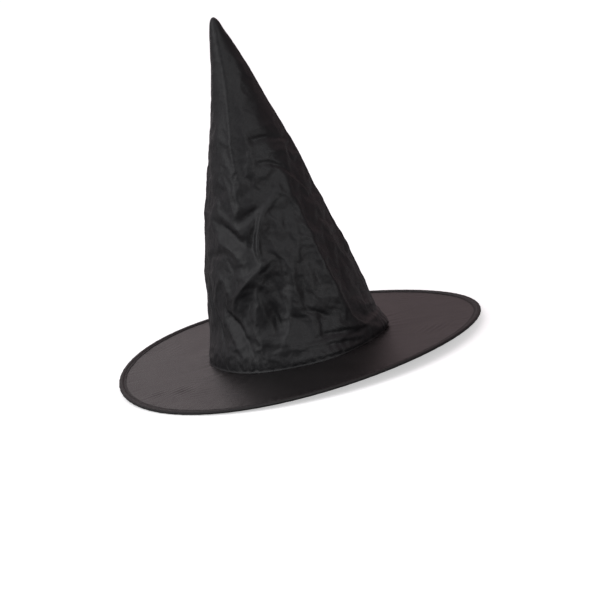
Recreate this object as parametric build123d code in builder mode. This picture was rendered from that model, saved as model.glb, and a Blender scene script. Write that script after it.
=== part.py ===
"""A wired-brim witch hat in thin black polyester: a tall pointed crown on a wide flat brim.

The brim is two rings of cloth lying face to face. A binding tape folds over their outer edge and
makes a channel for a spring-steel hoop, whose two ends meet in a crimped sleeve. The crown is one
fan-shaped panel rolled into a cone, with its seam at the back and the flaps pressed open inside.
A tape headband lines the head opening.

Millimetres. +Z is up, and the origin is the centre of the head opening, on the plane that the
brim rests on. -Y is the front of the hat and +Y the back.
"""

import os
from math import atan2, cos, degrees, floor, pi, radians, sqrt

from build123d import *

# ---------------------------------------------------------------- driving dimensions
brim_diameter = 380.0  # over the binding
crown_height = 344.0  # from the resting plane to the point
head_circumference = 557.0  # inside the headband
headband_height = 18.0
crown_flare = 4.6  # how much wider the crown's radius is at its base than at the headband's top

cloth = 0.4  # crown and brim cloth
tape = 0.5  # binding tape
headband_wall = 0.6  # folded headband tape
label_wall = 0.15
thread = 0.3  # thread diameter
label_thread = 0.2  # the label is sewn with a finer one

wire_diameter = 1.5  # hoop wire
wire_gap = 1.0  # between the hoop's two ends, inside the sleeve
sleeve_wall = 0.35
sleeve_length = 16.0
binding_width = 7.5  # from the brim's edge to the tape's inner edge
bead_flat = 2.0  # flat width under the wire, which the brim rests on
bead_run = 1.5  # width over which the tape comes down from the wire to the cloth

seam_flap = 8.0  # width of each flap of the crown's seam
tip_radius = 2.6
tip_plug = 4.0  # bunched cloth that fills the crown's point

stitch_length = 3.0
stitch_pitch = 4.2
binding_stitch_inset = 1.3  # from the binding's inner edge
opening_stitch_height = 2.2  # above the headband's lower edge
label_width = 32.0
label_height = 11.0
label_stitch_inset = 1.2  # from the label's edge

fit_gap = 0.05  # round the wire and its sleeve
band_gap = 0.3  # between the headband's top and the crown
thread_gap = 0.02  # between a stitch and the cloth under it

# The crown above the headband: share of the height there, share of the radius there, and how far
# the section's centre leans towards -X, as a share of the crown's whole height.
crown_sections = [
    (0.245, 0.790, 0.016),
    (0.555, 0.490, 0.022),
    (0.865, 0.183, 0.032),
]
tip_lean = 0.041

# ---------------------------------------------------------------- derived places
brim_radius = brim_diameter / 2
head_radius = head_circumference / (2 * pi)
wire_radius = wire_diameter / 2
channel_radius = wire_radius + sleeve_wall + fit_gap  # half the channel's height
bead_radius = channel_radius + tape

mid_plane = bead_radius  # where the two brim cloths meet
under_face = mid_plane - cloth
upper_face = mid_plane + cloth
leg_bottom = under_face - tape
leg_top = upper_face + tape

wire_centre_radius = brim_radius - bead_radius
channel_inner_radius = wire_centre_radius - bead_flat
cloth_outer_radius = channel_inner_radius - bead_run
binding_inner_radius = brim_radius - binding_width

headband_outer_radius = head_radius + headband_wall
headband_bottom = under_face
headband_top = headband_bottom + headband_height
shoulder_radius = headband_outer_radius + band_gap + cloth
crown_base_radius = shoulder_radius + crown_flare

wire_gap_angle = degrees(wire_gap / wire_centre_radius)
label_angle = degrees(label_width / head_radius)
label_bottom = headband_bottom + (headband_height - label_height) / 2 + opening_stitch_height / 2
front_to_back = 90  # the angle of +Y, where the crown's seam, the hoop's sleeve and the label are


def crown_outline():
    """The crown's sections from base to point: height, outer radius and lean towards -X."""
    rise = crown_height - headband_top
    rows = [(upper_face, crown_base_radius, 0.0), (headband_top, shoulder_radius, 0.0)]
    for height_share, radius_share, lean_share in crown_sections:
        rows.append(
            (
                headband_top + height_share * rise,
                radius_share * shoulder_radius,
                lean_share * crown_height,
            )
        )
    rows.append((crown_height, tip_radius, tip_lean * crown_height))
    return rows


def crown_at(height):
    """The crown's outer radius and lean at a height."""
    rows = crown_outline()
    for (z0, r0, lean0), (z1, r1, lean1) in zip(rows, rows[1:]):
        if height <= z1:
            share = (height - z0) / (z1 - z0)
            return r0 + share * (r1 - r0), lean0 + share * (lean1 - lean0)
    return rows[-1][1], rows[-1][2]


def crown_body(inset, top):
    """The solid inside the crown's outer face, shrunk by inset and cut off at height top."""
    rows = [row for row in crown_outline() if row[0] < top]
    rows.append((top, *crown_at(top)))
    with BuildPart(mode=Mode.PRIVATE) as body:
        for height, radius, lean in rows:
            with BuildSketch(Plane.XY.offset(height)):
                with Locations((-lean, 0)):
                    Circle(radius - inset)
        loft(ruled=True)
    return body.part


def save(part, name):
    part.label = name
    export_step(part, f"parts/{name}.step")


os.makedirs("parts", exist_ok=True)

# ---------------------------------------------------------------- crown
crown_inside_top = crown_height - tip_plug

with BuildPart() as crown:
    add(crown_body(0, crown_height))
    point = crown.edges().filter_by(GeomType.CIRCLE).sort_by(Axis.Z)[-1]
    fillet(point, tip_radius * 0.7)
    add(crown_body(cloth, crown_inside_top), mode=Mode.SUBTRACT)
save(crown.part, "crown")

# The flaps of the back seam lie on the crown's inner face, from the headband up towards the point.
seam_bottom = headband_top + 2 * band_gap
seam_top = headband_top + crown_sections[-1][0] * (crown_height - headband_top)
top_radius, top_lean = crown_at(seam_top)
flap_at_top = min(seam_flap, top_radius / 2)

with BuildPart() as crown_seam_flaps:
    add(crown_body(cloth, crown_inside_top))
    add(crown_body(2 * cloth, crown_inside_top), mode=Mode.SUBTRACT)
    with BuildSketch(Plane.XZ):
        with BuildLine():
            Polyline(
                (-seam_flap, seam_bottom),
                (seam_flap, seam_bottom),
                (flap_at_top - top_lean, seam_top),
                (-flap_at_top - top_lean, seam_top),
                close=True,
            )
        make_face()
    extrude(amount=-crown_base_radius, mode=Mode.INTERSECT)
save(crown_seam_flaps.part, "crown_seam_flaps")

seam_run = seam_top - seam_bottom
seam_stitch_count = floor(seam_run / stitch_pitch)

with BuildPart() as crown_seam_stitches:
    for index in range(seam_stitch_count):
        z = seam_bottom + (index + 0.5) * seam_run / seam_stitch_count
        low_radius, low_lean = crown_at(z - stitch_length / 2)
        high_radius, high_lean = crown_at(z + stitch_length / 2)
        radius, lean = crown_at(z)
        slope = degrees(atan2(low_radius - high_radius, stitch_length))
        face = radius - 2 * cloth - (thread / 2 + thread_gap) / cos(radians(slope))
        with Locations(Location((-lean, face, z), (slope, 0, 0))):
            Cylinder(thread / 2, stitch_length)
save(crown_seam_stitches.part, "crown_seam_stitches")


# ---------------------------------------------------------------- brim
def brim_ring(bottom):
    """One ring of brim cloth, from the headband to the channel."""
    with BuildPart() as ring:
        with BuildSketch(Plane.XY.offset(bottom)):
            Circle(cloth_outer_radius)
            Circle(headband_outer_radius, mode=Mode.SUBTRACT)
        extrude(amount=cloth)
    return ring.part


save(brim_ring(mid_plane), "brim_upper_cloth")
save(brim_ring(under_face), "brim_under_cloth")

with BuildPart() as binding:
    with BuildSketch(Plane.XZ):
        with BuildLine():
            CenterArc((wire_centre_radius, mid_plane), bead_radius, -90, 180)
            CenterArc((wire_centre_radius, mid_plane), channel_radius, -90, 180)
            for sign, leg_face, cloth_face in ((-1, leg_bottom, under_face), (1, leg_top, upper_face)):
                Polyline(
                    (wire_centre_radius, mid_plane + sign * bead_radius),
                    (channel_inner_radius, mid_plane + sign * bead_radius),
                    (cloth_outer_radius, leg_face),
                    (binding_inner_radius, leg_face),
                    (binding_inner_radius, cloth_face),
                    (cloth_outer_radius, cloth_face),
                    (channel_inner_radius, mid_plane + sign * channel_radius),
                    (wire_centre_radius, mid_plane + sign * channel_radius),
                )
        make_face()
    revolve(axis=Axis.Z)
save(binding.part, "brim_binding")

with BuildPart() as hoop:
    with BuildSketch(Plane.XZ):
        with Locations((wire_centre_radius, mid_plane)):
            Circle(wire_radius)
    revolve(axis=Axis.Z, revolution_arc=360 - wire_gap_angle)
hoop_turned = hoop.part.rotate(Axis.Z, front_to_back + wire_gap_angle / 2)
save(hoop_turned, "brim_hoop_wire")

sleeve_angle = degrees(sleeve_length / wire_centre_radius)
with BuildPart() as sleeve:
    with BuildSketch(Plane.XZ):
        with Locations((wire_centre_radius, mid_plane)):
            Circle(wire_radius + sleeve_wall)
            Circle(wire_radius, mode=Mode.SUBTRACT)
    revolve(axis=Axis.Z, revolution_arc=sleeve_angle)
sleeve_turned = sleeve.part.rotate(Axis.Z, front_to_back - sleeve_angle / 2)
save(sleeve_turned, "hoop_joining_sleeve")


def stitch_ring(radius, height):
    """A round of straight stitches, each along the circle."""
    count = floor(2 * pi * radius / stitch_pitch)
    with BuildPart() as ring:
        with Locations((0, 0, height)):
            with PolarLocations(radius, count):
                Cylinder(thread / 2, stitch_length, rotation=(90, 0, 0))
    return ring.part


binding_stitch_radius = binding_inner_radius + binding_stitch_inset
thread_offset = thread / 2 + thread_gap
save(stitch_ring(binding_stitch_radius, leg_top + thread_offset), "binding_top_stitches")
save(stitch_ring(binding_stitch_radius, leg_bottom - thread_offset), "binding_under_stitches")

# ---------------------------------------------------------------- headband and label
with BuildPart() as headband:
    with BuildSketch(Plane.XY.offset(headband_bottom)):
        Circle(headband_outer_radius)
        Circle(head_radius, mode=Mode.SUBTRACT)
    extrude(amount=headband_height)
save(headband.part, "headband")


def inside_wall(radius, strand):
    """The radius at which a straight stitch of this thickness clears a round wall at both ends."""
    return sqrt((radius - thread_gap - strand / 2) ** 2 - (stitch_length / 2) ** 2)


opening_stitches = stitch_ring(
    inside_wall(head_radius, thread), headband_bottom + opening_stitch_height
)
save(opening_stitches, "opening_stitches")

with BuildPart() as label:
    with BuildSketch(Plane.XZ):
        with Locations((head_radius - label_wall / 2, label_bottom + label_height / 2)):
            Rectangle(label_wall, label_height)
    revolve(axis=Axis.Z, revolution_arc=label_angle)
label_turned = label.part.rotate(Axis.Z, front_to_back - label_angle / 2)
save(label_turned, "care_label")

label_stitch_count = floor((label_width - 2 * label_stitch_inset) / stitch_pitch)
label_stitch_radius = inside_wall(head_radius - label_wall, label_thread)
label_stitch_span = label_angle * (1 - 2 * label_stitch_inset / label_width)
label_stitch_span *= 1 - 1 / label_stitch_count  # between the middles of the end stitches
with BuildPart() as label_stitches:
    for height in (label_bottom + label_stitch_inset, label_bottom + label_height - label_stitch_inset):
        with Locations((0, 0, height)):
            with PolarLocations(
                label_stitch_radius,
                label_stitch_count,
                start_angle=front_to_back - label_stitch_span / 2,
                angular_range=label_stitch_span,
                endpoint=True,
            ):
                Cylinder(label_thread / 2, stitch_length, rotation=(90, 0, 0))
save(label_stitches.part, "label_stitches")
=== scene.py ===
"""The looks of a wired-brim witch hat in thin black polyester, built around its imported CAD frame.

Metres. +Z is up, -Y is the front of the hat and +Y the back, where the crown's seam is.
The whole brim is a little twisted, as a sprung hoop lies, and lift() says by how much anywhere.
"""

from math import cos, floor, pi, radians, sin, sqrt

import bpy
import numpy as np
from mathutils import Matrix, Vector, noise
from mathutils.bvhtree import BVHTree


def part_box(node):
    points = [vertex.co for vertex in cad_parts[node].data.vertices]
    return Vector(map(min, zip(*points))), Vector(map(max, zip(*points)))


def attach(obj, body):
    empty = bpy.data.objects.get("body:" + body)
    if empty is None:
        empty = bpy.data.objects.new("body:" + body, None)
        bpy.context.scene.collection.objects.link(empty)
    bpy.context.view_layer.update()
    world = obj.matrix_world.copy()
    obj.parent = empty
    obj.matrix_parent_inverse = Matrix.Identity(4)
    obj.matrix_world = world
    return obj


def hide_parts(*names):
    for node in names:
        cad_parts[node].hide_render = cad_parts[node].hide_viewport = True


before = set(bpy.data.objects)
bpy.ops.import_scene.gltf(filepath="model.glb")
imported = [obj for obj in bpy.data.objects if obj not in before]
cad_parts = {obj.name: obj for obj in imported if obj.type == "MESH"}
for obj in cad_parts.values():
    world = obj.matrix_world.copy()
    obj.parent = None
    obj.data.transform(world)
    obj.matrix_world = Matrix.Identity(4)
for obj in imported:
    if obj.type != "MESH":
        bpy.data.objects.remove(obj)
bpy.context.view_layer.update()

MM = 0.001
TURN = 2 * pi
BACK = pi / 2  # the azimuth of the back seam, the hoop's sleeve and the label

# ---------------- sizes, from the frame
brim_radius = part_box("brim_binding")[1].x
binding_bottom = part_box("brim_binding")[0].z
binding_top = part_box("brim_binding")[1].z
mid_plane = (binding_bottom + binding_top) / 2  # where the two brim cloths meet
upper_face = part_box("brim_upper_cloth")[1].z
under_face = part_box("brim_under_cloth")[0].z
cloth_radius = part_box("brim_upper_cloth")[1].x
wire_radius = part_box("brim_hoop_wire")[1].z - mid_plane
sleeve_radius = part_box("hoop_joining_sleeve")[1].z - mid_plane
band_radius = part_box("headband")[1].x
band_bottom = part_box("headband")[0].z
band_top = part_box("headband")[1].z
crown_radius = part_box("crown")[1].x
label_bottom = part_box("care_label")[0].z
seam_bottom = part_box("crown_seam_flaps")[0].z
seam_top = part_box("crown_seam_flaps")[1].z

BINDING_WIDTH = 7.5 * MM
STITCH_INSET = 1.3 * MM  # from the binding's inner edge
STITCH_GROOVE = 0.45 * MM  # how deep the binding is drawn down along its stitches
BEAD_FLAT = 2 * MM  # the flat part of the wire's bead
BEAD_RUN = 1.5 * MM  # and the slope from it down to the leg
TAPE = 0.5 * MM
CLOTH = 0.4 * MM
BAND_WALL = 0.6 * MM
THREAD = 0.3 * MM
LABEL_THREAD = 0.2 * MM
LABEL_WALL = 0.15 * MM
STITCH_LENGTH = 3 * MM
STITCH_PITCH = 4.2 * MM
SEAM_FLAP = 8 * MM

head_radius = band_radius - BAND_WALL
binding_inner = brim_radius - BINDING_WIDTH
stitch_radius = binding_inner + STITCH_INSET
bead_radius = mid_plane - binding_bottom
wire_line = brim_radius - bead_radius

# ---------------- how the brim is twisted
RIM_LIFT = 5.0 * MM  # the rim's middle height above the flat brim
ROOT_LIFT = 6.0 * MM  # and the head opening's
TWIST = 5.0 * MM  # the hoop's saddle: two low and two high places on the rim


def lift(x, y):
    """How far a point over (x, y) is raised by the brim's twist."""
    radius = np.hypot(x, y)
    out = np.clip((radius - band_radius) / (brim_radius - band_radius), 0, 1)
    return ROOT_LIFT + (RIM_LIFT - ROOT_LIFT) * out - TWIST * 2 * x * y / brim_radius**2


def lifted(points):
    """The points, shaped (..., 3), raised with the brim."""
    points = np.array(points, float)
    points[..., 2] += lift(points[..., 0], points[..., 1])
    return points


# ---------------- curves
def smooth(t):
    """Rises from 0 to 1 as t does, and is level at both ends."""
    t = np.clip(t, 0, 1)
    return t * t * (3 - 2 * t)


def rise(height, start, run):
    """0 up to the height start, and 1 from start + run up. Those two are in mm."""
    return smooth((height - start * MM) / (run * MM))


def bell(distance, size):
    """1 at no distance, and falling to almost nothing at twice the size."""
    return np.exp(-((distance / size) ** 2))


def ripples(angle, *turns):
    """Waves round the hat, added up. Each has its number of waves and its shift."""
    return sum(np.cos(count * angle + shift) for count, shift in turns)


def polar(radius, angle, height):
    return np.stack([radius * np.cos(angle), radius * np.sin(angle), height], -1)


def lengths_along(outline):
    """How far along the outline each of its points is. The first two columns are the points."""
    return np.concatenate([[0], np.cumsum(np.hypot(*np.diff(outline[:, :2], axis=0).T))])


# ---------------- mesh helpers
def corner_points(mesh):
    """The number of each face corner's point."""
    corner = np.zeros(len(mesh.loops), np.int32)
    mesh.loops.foreach_get("vertex_index", corner)
    return corner


def set_cut(mesh, flat):
    """Stores where each face corner lies in the piece's flat cut, in metres."""
    layer = mesh.uv_layers.get("cut") or mesh.uv_layers.new(name="cut")
    layer.data.foreach_set("uv", np.asarray(flat, np.float32).ravel())


def add_mesh(name, points, faces, flat=None):
    """A new smooth-shaded object. flat holds each point's place in the flat cut."""
    mesh = bpy.data.meshes.new(name)
    mesh.from_pydata([tuple(p) for p in points], [], faces)
    mesh.polygons.foreach_set("use_smooth", [True] * len(mesh.polygons))
    if flat is not None:
        set_cut(mesh, np.asarray(flat)[corner_points(mesh)])
    piece = bpy.data.objects.new(name, mesh)
    bpy.context.scene.collection.objects.link(piece)
    return piece


def dress(piece, looks, node_name):
    """Gives a finished piece its material, and says which node of the CAD it replaces."""
    piece.data.materials.append(looks)
    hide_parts(node_name)
    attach(piece, "root")
    return piece


def ring_solid(name, profile, columns, place):
    """A closed solid all round the hat. profile is its section's closed outline, as (radius, height)
    pairs, and place(radius, angle, height) gives the final points."""
    profile = np.array(profile)
    rows = len(profile)
    radius, angle = np.meshgrid(profile[:, 0], np.arange(columns) * TURN / columns)
    height = np.broadcast_to(profile[:, 1], radius.shape)
    faces = []
    for i in range(columns):
        a, b = i * rows, (i + 1) % columns * rows
        for j in range(rows):
            k = (j + 1) % rows
            faces.append((a + j, b + j, b + k, a + k))
    across = np.broadcast_to(lengths_along(profile), radius.shape)
    flat = np.stack([angle * profile[:, 0].mean(), across], -1)
    return add_mesh(name, place(radius, angle, height).reshape(-1, 3), faces, flat.reshape(-1, 2))


def slab(name, top, bottom):
    """A closed solid between two grids of points, shaped (rows, columns, 3)."""
    rows, columns = top.shape[:2]
    below = rows * columns
    grid = np.arange(below).reshape(rows, columns)
    faces = []
    for i in range(rows - 1):
        for j in range(columns - 1):
            a, b, c, d = grid[i, j], grid[i, j + 1], grid[i + 1, j + 1], grid[i + 1, j]
            faces.append((a, b, c, d))
            faces.append((a + below, d + below, c + below, b + below))
    edge = [*grid[0, :-1], *grid[:-1, -1], *grid[-1, :0:-1], *grid[:0:-1, 0]]
    for a, b in zip(edge, edge[1:] + edge[:1]):
        faces.append((b, a, a + below, b + below))
    step = np.linalg.norm(top[0, 1] - top[0, 0])
    u, v = np.meshgrid(np.arange(columns) * step, np.arange(rows) * step)
    flat = np.tile(np.stack([u, v], -1).reshape(-1, 2), (2, 1))
    points = np.concatenate([top.reshape(-1, 3), bottom.reshape(-1, 3)])
    return add_mesh(name, points, [tuple(int(n) for n in f) for f in faces], flat)


def skin(start, rings, sides):
    """The faces between closed rings of points, which are numbered from start."""
    faces = []
    for a in range(start, start + (rings - 1) * sides, sides):
        for s in range(sides):
            t = (s + 1) % sides
            faces.append((a + s, a + t, a + sides + t, a + sides + s))
    return faces


THREAD_SIDES = 8
THREAD_END = 0.25  # the thickness at a stitch's ends, as a share


def threads(name, paths, diameter):
    """Round threads along paths, each shaped (points, 3), in one mesh."""
    points, faces, flat = [], [], []
    sides = THREAD_SIDES
    around = np.arange(sides) * TURN / sides
    for path in paths:
        path = np.array(path)
        along = np.gradient(path, axis=0)
        along /= np.linalg.norm(along, axis=1)[:, None]
        outwards = path.mean(0) * (0.3, 0.3, 0) + (0, 0, 1)
        side = np.cross(along, outwards)
        side /= np.linalg.norm(side, axis=1)[:, None]
        up = np.cross(side, along)
        count = len(path)
        share = np.arange(count) / (count - 1)
        thick = diameter / 2 * np.clip(1 - np.abs(2 * share - 1) ** 6, THREAD_END, 1)
        start = len(points)
        for k in range(count):
            for a in around:
                points.append(path[k] + thick[k] * (cos(a) * side[k] + sin(a) * up[k]))
                flat.append((share[k] * 10 * diameter, a * diameter / 2))
        faces += skin(start, count, sides)
        last = start + (count - 1) * sides
        faces.append(tuple(range(start, start + sides))[::-1])
        faces.append(tuple(range(last, last + sides)))
    return add_mesh(name, points, faces, flat)


# ---------------- materials
def material(name, color, roughness, **sockets):
    """A Principled material. Constant values sit on the shader's own sockets."""
    made = bpy.data.materials.new(name)
    made.use_nodes = True
    shader = made.node_tree.nodes["Principled BSDF"]
    shader.inputs["Base Color"].default_value = (*color, 1)
    shader.inputs["Roughness"].default_value = roughness
    for socket, value in sockets.items():
        shader.inputs[socket.replace("_", " ")].default_value = value
    return made


def node(tree, kind, inputs=(), **settings):
    """A new node. inputs says which value, or which other node's output, each socket gets."""
    made = tree.nodes.new(kind)
    for key, value in settings.items():
        setattr(made, key, value)
    for socket, value in dict(inputs).items():
        if isinstance(value, bpy.types.NodeSocket):
            tree.links.new(value, made.inputs[socket])
        else:
            made.inputs[socket].default_value = value
    return made


def product(tree, first, second):
    return node(tree, "ShaderNodeMath", {0: first, 1: second}, operation="MULTIPLY").outputs[0]


def map_range(tree, value, low, high, to_low=0, to_high=1):
    """The value, where low has become to_low and high to_high."""
    ends = {"From Min": low, "From Max": high, "To Min": to_low, "To Max": to_high}
    return node(tree, "ShaderNodeMapRange", {"Value": value, **ends}).outputs["Result"]


def blend(tree, factor, low, high):
    """A colour that runs from low to high as factor runs from 0 to 1."""
    ends = {6: (*low, 1), 7: (*high, 1)}
    return node(tree, "ShaderNodeMix", {0: factor, **ends}, data_type="RGBA").outputs[2]


def patches(tree, place, scale, detail):
    """Noise from 0 to 1."""
    inputs = {"Vector": place, "Scale": scale, "Detail": detail}
    return node(tree, "ShaderNodeTexNoise", inputs).outputs["Fac"]


def in_cut(tree, **mapping):
    """The place in the piece's flat cut, which a mapping's Scale or Rotation may change."""
    cut = node(tree, "ShaderNodeUVMap", uv_map="cut").outputs["UV"]
    return node(tree, "ShaderNodeMapping", {"Vector": cut, **mapping}).outputs[0] if mapping else cut


def in_space(tree):
    return node(tree, "ShaderNodeTexCoord").outputs["Object"]


def ribs_height(tree, pitch, place, axis="X"):
    """Rounded ribs, pitch apart, from -1 to 1."""
    split = node(tree, "ShaderNodeSeparateXYZ", {"Vector": place})
    turned = product(tree, split.outputs[axis], TURN / pitch)
    return node(tree, "ShaderNodeMath", {0: turned}, operation="SINE").outputs[0]


def weave_height(tree, pitch, place):
    """A plain weave's height: two crossed sets of yarns, pitch apart, which pass over and under."""
    return product(tree, *(ribs_height(tree, pitch, place, axis) for axis in "XY"))


def add_bumps(made, layers):
    """Chains bump nodes into the shader. layers are (height output, distance, strength)."""
    tree = made.node_tree
    under = {}
    for height, distance, strength in layers:
        inputs = {"Height": height, "Distance": distance, "Strength": strength, **under}
        under = {"Normal": node(tree, "ShaderNodeBump", inputs).outputs["Normal"]}
    tree.links.new(under["Normal"], tree.nodes["Principled BSDF"].inputs["Normal"])


def vary(made, socket, factor, low, high):
    """The socket runs from low to high as factor runs from 0 to 1."""
    tree = made.node_tree
    if isinstance(low, tuple):
        output = blend(tree, factor, low, high)
    else:
        output = map_range(tree, factor, 0, 1, low, high)
    tree.links.new(output, tree.nodes["Principled BSDF"].inputs[socket])


def cloth_material(name, dark, light, roughness, weave, crumple, **sockets):
    """Thin woven cloth: a fine weave along the cut, small crumples, and uneven colour and gloss."""
    made = material(name, dark, roughness, **sockets)
    tree = made.node_tree
    clouds = patches(tree, in_space(tree), scale=26, detail=4)
    streaks = patches(tree, in_cut(tree, Scale=(900, 60, 1)), scale=1, detail=2)
    vary(made, "Base Color", map_range(tree, product(tree, clouds, streaks), 0.12, 0.42), dark, light)
    vary(made, "Roughness", clouds, roughness - 0.08, roughness + 0.08)
    small = patches(tree, in_space(tree), scale=160, detail=3)
    woven = weave_height(tree, weave, in_cut(tree))
    add_bumps(made, [(small, crumple, 0.5), (woven, 0.06 * MM, 0.35)])
    return made


def tape_material(name, dark, light, roughness, pitch, depth, specular):
    """Ribbed tape: ribs across its length, and a fine weave over them. Its colour has painted shade, darker
    between the ribs and lighter on their crests.
    """
    made = material(name, dark, roughness, Specular_IOR_Level=specular)
    tree = made.node_tree
    ribs = ribs_height(tree, pitch, in_cut(tree))
    # painted shade: the base colour follows the ribs' height, darker in the grooves between ribs and lighter
    # on their crests
    vary(made, "Base Color", map_range(tree, ribs, -1, 1), dark, light)
    woven = weave_height(tree, pitch * 0.6, in_cut(tree))
    add_bumps(made, [(ribs, depth, 0.7), (woven, depth / 3, 0.4)])
    return made


def thread_material(name, dark, light):
    """Twisted sewing thread: slanting plies along it, with painted shade between them."""
    made = material(name, dark, 0.45, Sheen_Weight=0.15, Sheen_Roughness=0.4)
    tree = made.node_tree
    plies = ribs_height(tree, 0.35 * MM, in_cut(tree, Rotation=(0, 0, radians(35))))
    # painted shade: the base colour follows the plies' height, darker in the grooves between plies and
    # lighter on their tops
    vary(made, "Base Color", map_range(tree, plies, -1, 1), dark, light)
    add_bumps(made, [(plies, 0.05 * MM, 0.8)])
    return made


def metal_material(name, color, roughness, scratch):
    """Drawn metal with a fine grain and faint stains."""
    made = material(name, color, roughness, Metallic=1.0)
    tree = made.node_tree
    grain = patches(tree, in_space(tree), scale=2500, detail=3)
    vary(made, "Roughness", grain, roughness - 0.1, roughness + 0.15)
    stain = patches(tree, in_space(tree), scale=90, detail=4)
    vary(made, "Base Color", stain, tuple(c * 0.75 for c in color), color)
    add_bumps(made, [(grain, scratch, 0.4)])
    return made


def label_material():
    """White satin: fine lengthwise floats with painted shade, darker where they lie lower, and a soft gloss.
    """
    made = material("label_satin", (0.82, 0.81, 0.79), 0.38, Sheen_Weight=0.2, Sheen_Roughness=0.3)
    tree = made.node_tree
    floats = patches(tree, in_cut(tree, Scale=(600, 5000, 1)), scale=1, detail=2)
    # painted shade: the base colour follows the floats' height, darker where the floats lie lower
    vary(made, "Base Color", floats, (0.72, 0.71, 0.69), (0.86, 0.85, 0.83))
    add_bumps(made, [(floats, 0.05 * MM, 0.5)])
    return made


crown_cloth = cloth_material(
    "crown_cloth", dark=(0.0050, 0.0050, 0.0058), light=(0.0085, 0.0085, 0.0095), roughness=0.42,
    weave=0.5 * MM, crumple=0.5 * MM, Specular_IOR_Level=0.36,
)
brim_cloth = cloth_material(
    "brim_cloth", dark=(0.0060, 0.0050, 0.0050), light=(0.0090, 0.0078, 0.0080), roughness=0.36,
    weave=0.5 * MM, crumple=0.12 * MM, Specular_IOR_Level=0.5,
)
binding_tape = tape_material(
    "binding_tape", dark=(0.0060, 0.0052, 0.0054), light=(0.0100, 0.0088, 0.0092), roughness=0.5,
    pitch=0.7 * MM, depth=0.06 * MM, specular=0.36,
)
headband_tape = tape_material(
    "headband_tape", dark=(0.0080, 0.0080, 0.0088), light=(0.0190, 0.0190, 0.0200), roughness=0.6,
    pitch=1.1 * MM, depth=0.16 * MM, specular=0.4,
)
black_thread = thread_material("black_thread", dark=(0.006, 0.006, 0.0065), light=(0.022, 0.021, 0.022))
white_thread = thread_material("white_thread", dark=(0.62, 0.61, 0.59), light=(0.80, 0.79, 0.77))
spring_steel = metal_material("spring_steel", (0.45, 0.45, 0.46), roughness=0.35, scratch=0.02 * MM)
sleeve_metal = metal_material("sleeve_metal", (0.70, 0.70, 0.71), roughness=0.4, scratch=0.04 * MM)
label_satin = label_material()

# ---------------- crown: the plain cone
# Height above the brim cloth, radius, and lean of the centre towards -X.
CROWN_PROFILE = np.array([
    (0.0, 91.8, 0.0),
    (0.6, 91.7, 0.0),
    (1.3, 91.1, 0.0),
    (2.4, 90.9, 0.0),
    (5.0, 90.7, 0.2),
    (10.0, 89.8, 0.8),
    (20.0, 87.2, 2.0),
    (54.0, 81.3, 3.2),
    (94.0, 73.0, 5.9),
    (154.0, 57.0, 8.5),
    (194.0, 46.2, 7.8),
    (254.0, 27.6, 9.2),
    (294.0, 17.5, 10.8),
    (324.0, 9.6, 13.6),
    (336.0, 5.9, 14.4),
    (340.5, 4.3, 14.8),
    (342.3, 2.9, 15.0),
    (343.4, 1.6, 15.0),
]) * MM
CROWN_STEP = 3.2 * MM  # between neighbouring points of the crown's mesh
FOOT_ROWS = np.array([0, 0.7, 1.4, 2.2, 3.4, 5.0, 7.0]) * MM  # closer rows at the foot, along the cloth
TOP_POINT = 0.6 * MM  # how far the cone's last point stands over its last ring


def crown_rows():
    """Heights, radii, leans and slant distances from the point of the mesh's rows."""
    run = lengths_along(CROWN_PROFILE)
    count = round((run[-1] - FOOT_ROWS[-1]) / (CROWN_STEP * sqrt(3) / 2))
    at = np.concatenate([FOOT_ROWS[:-1], np.linspace(FOOT_ROWS[-1], run[-1], count + 1)])
    height, radius, lean = (np.interp(at, run, CROWN_PROFILE[:, k]) for k in range(3))
    return height, radius, lean, run[-1] - at


def zipped(low, high, low_turns, high_turns):
    """The triangles between two rings of points, which are given with their azimuths."""
    low_turns = np.append(low_turns, low_turns[0] + TURN)
    high_turns = np.append(high_turns, high_turns[0] + TURN)
    faces = []
    a = b = 0
    while a < len(low) or b < len(high):
        low_next = low_turns[a + 1] if a < len(low) else np.inf
        high_next = high_turns[b + 1] if b < len(high) else np.inf
        here, above = low[a % len(low)], high[b % len(high)]
        if low_next <= high_next:
            a += 1
            faces.append((here, low[a % len(low)], above))
        else:
            b += 1
            faces.append((here, high[b % len(high)], above))
    return faces


def cone_mesh():
    """The crown as rings of evenly spaced points, zipped together by triangles up to one top point.
    Returns each point's height, radius, lean, azimuth and slant, and the triangles."""
    rings, places, faces = [], [], []
    first = 0
    for k, (z, r, lean, slant) in enumerate(zip(*crown_rows())):
        count = max(6, round(TURN * r / CROWN_STEP))
        angles = (np.arange(count) + 0.5 * (k % 2)) * TURN / count + BACK
        rings.append(np.arange(first, first + count))
        same = np.ones(count)
        places.append(np.stack([z * same, r * same, lean * same, angles, slant * same], -1))
        first += count
    for low, high, low_at, high_at in zip(rings, rings[1:], places, places[1:]):
        faces += zipped(low, high, low_at[:, 3], high_at[:, 3])
    places.append(np.array([[z + TOP_POINT, 0, lean, 0, 0]]))
    faces += [(a, b, first) for a, b in zip(rings[-1], np.roll(rings[-1], -1))]
    return np.concatenate(places), np.array(faces, int)


# ---------------- crown: its folds
SHARP, SOFT = True, False
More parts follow.
